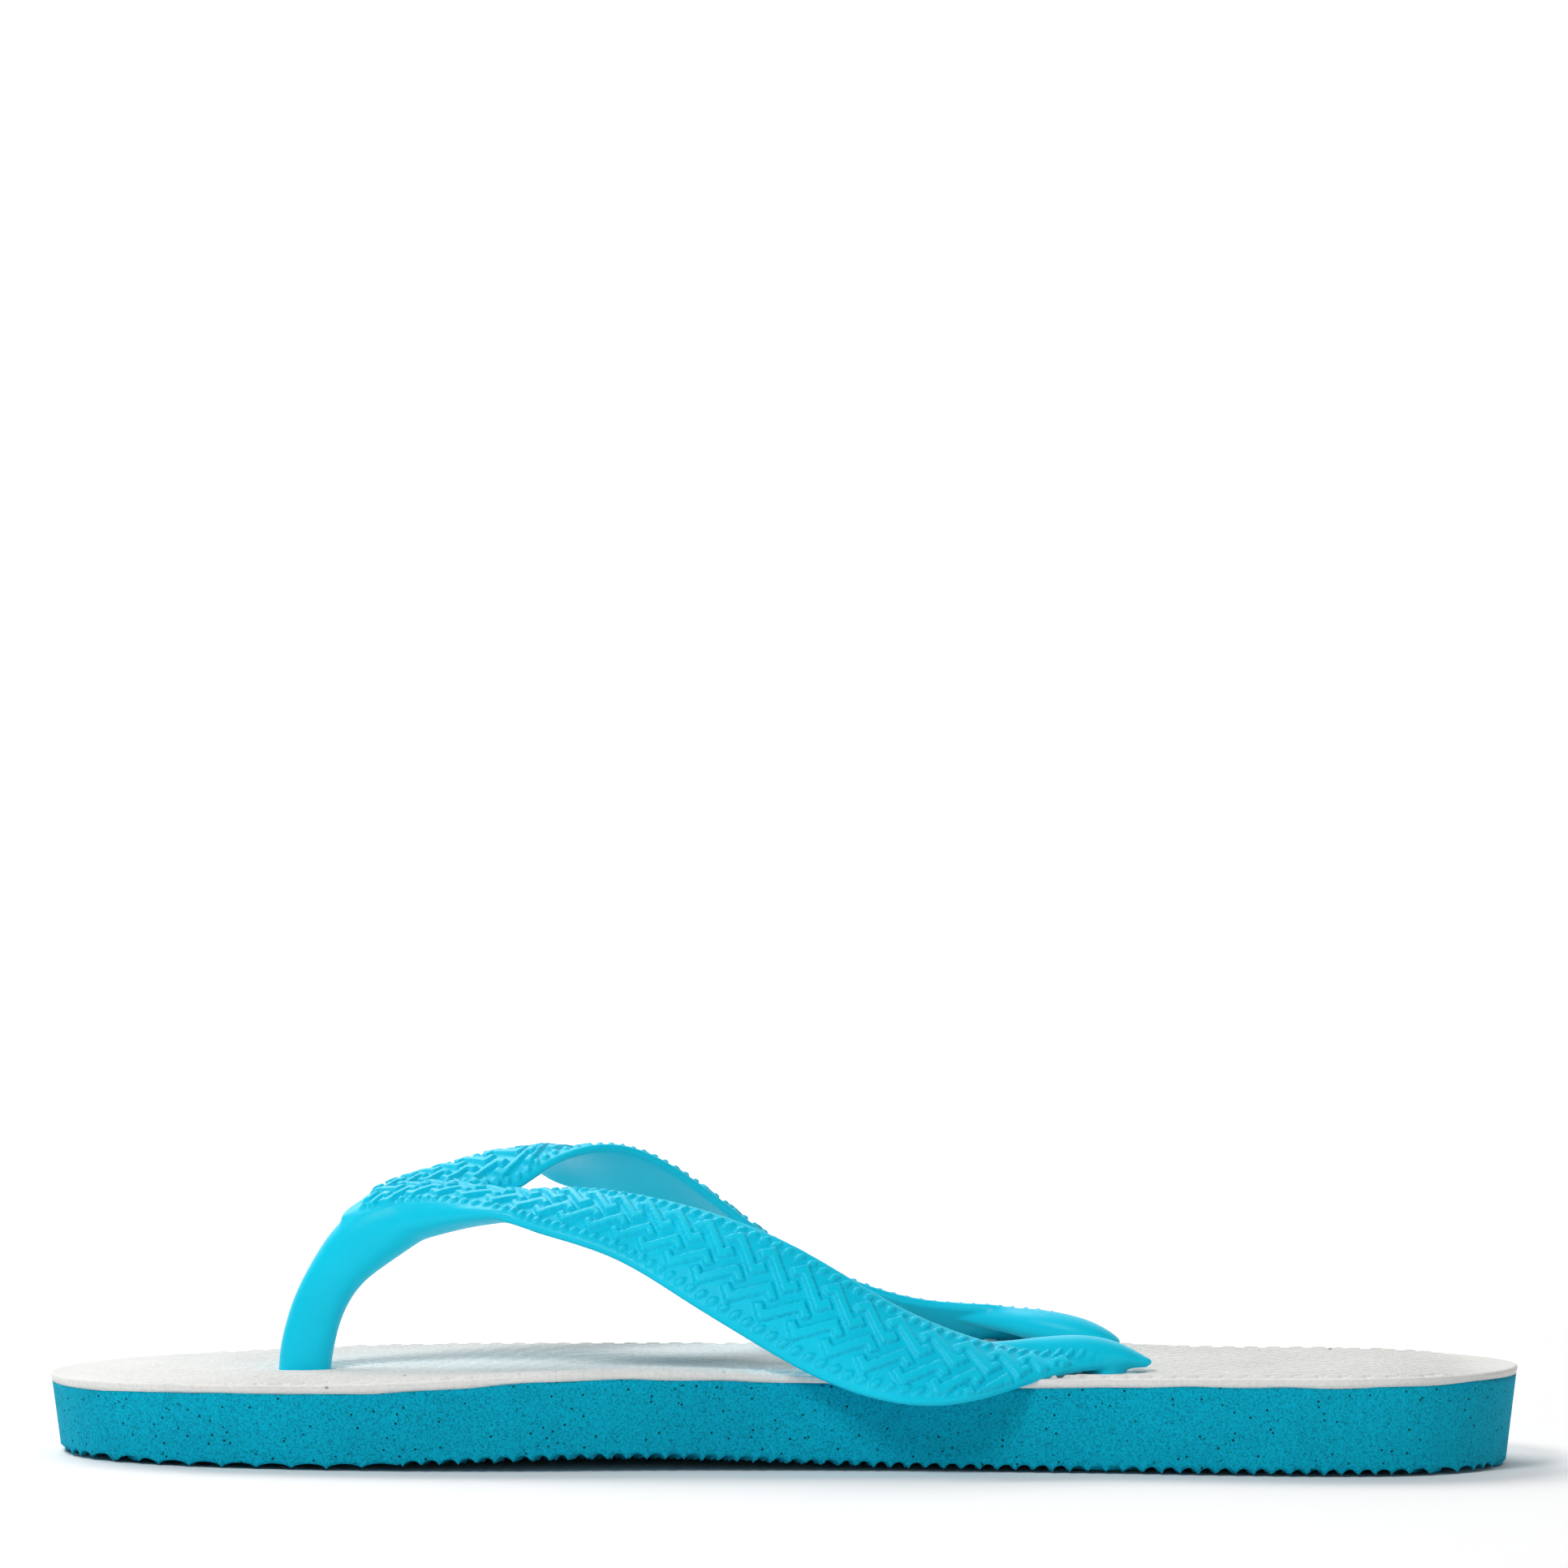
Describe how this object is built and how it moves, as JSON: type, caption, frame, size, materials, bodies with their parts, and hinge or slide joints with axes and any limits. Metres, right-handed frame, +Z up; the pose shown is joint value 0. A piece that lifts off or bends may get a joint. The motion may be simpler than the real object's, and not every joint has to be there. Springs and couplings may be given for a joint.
{
  "type": "flip flop",
  "caption": "Right-foot flip flop: thick two-layer foam sole, toe post and Y-shaped moulded strap held by plugs under the sole.",
  "frame": {"origin": "centre of the bounding box at ground level", "axes": "+X from toe to heel, -Y towards the inner (medial) side of the foot, +Z up"},
  "size_m": [0.2645, 0.0943, 0.0551],
  "materials": {
    "base_foam": "matt blue expanded foam with fine open pores",
    "footbed_foam": "matt white foam sheet embossed with small rice-grain marks",
    "strap_rubber": "satin moulded bright blue soft rubber"
  },
  "bodies": {
    "rear_sole": {"base_heel": "base_foam", "footbed_heel": "footbed_foam", "strap": "strap_rubber"},
    "forefoot": {"base_toe": "base_foam", "footbed_toe": "footbed_foam"}
  },
  "joints": [
    {"name": "toe_flex", "type": "hinge", "parent": "rear_sole", "child": "forefoot", "pos_m": [-0.052, 0, 0.0153], "axis": [0, 1, 0], "range_deg": [0, 40], "stiffness_Nm_per_rad": 1.6, "deforming": ["strap"]}
  ]
}
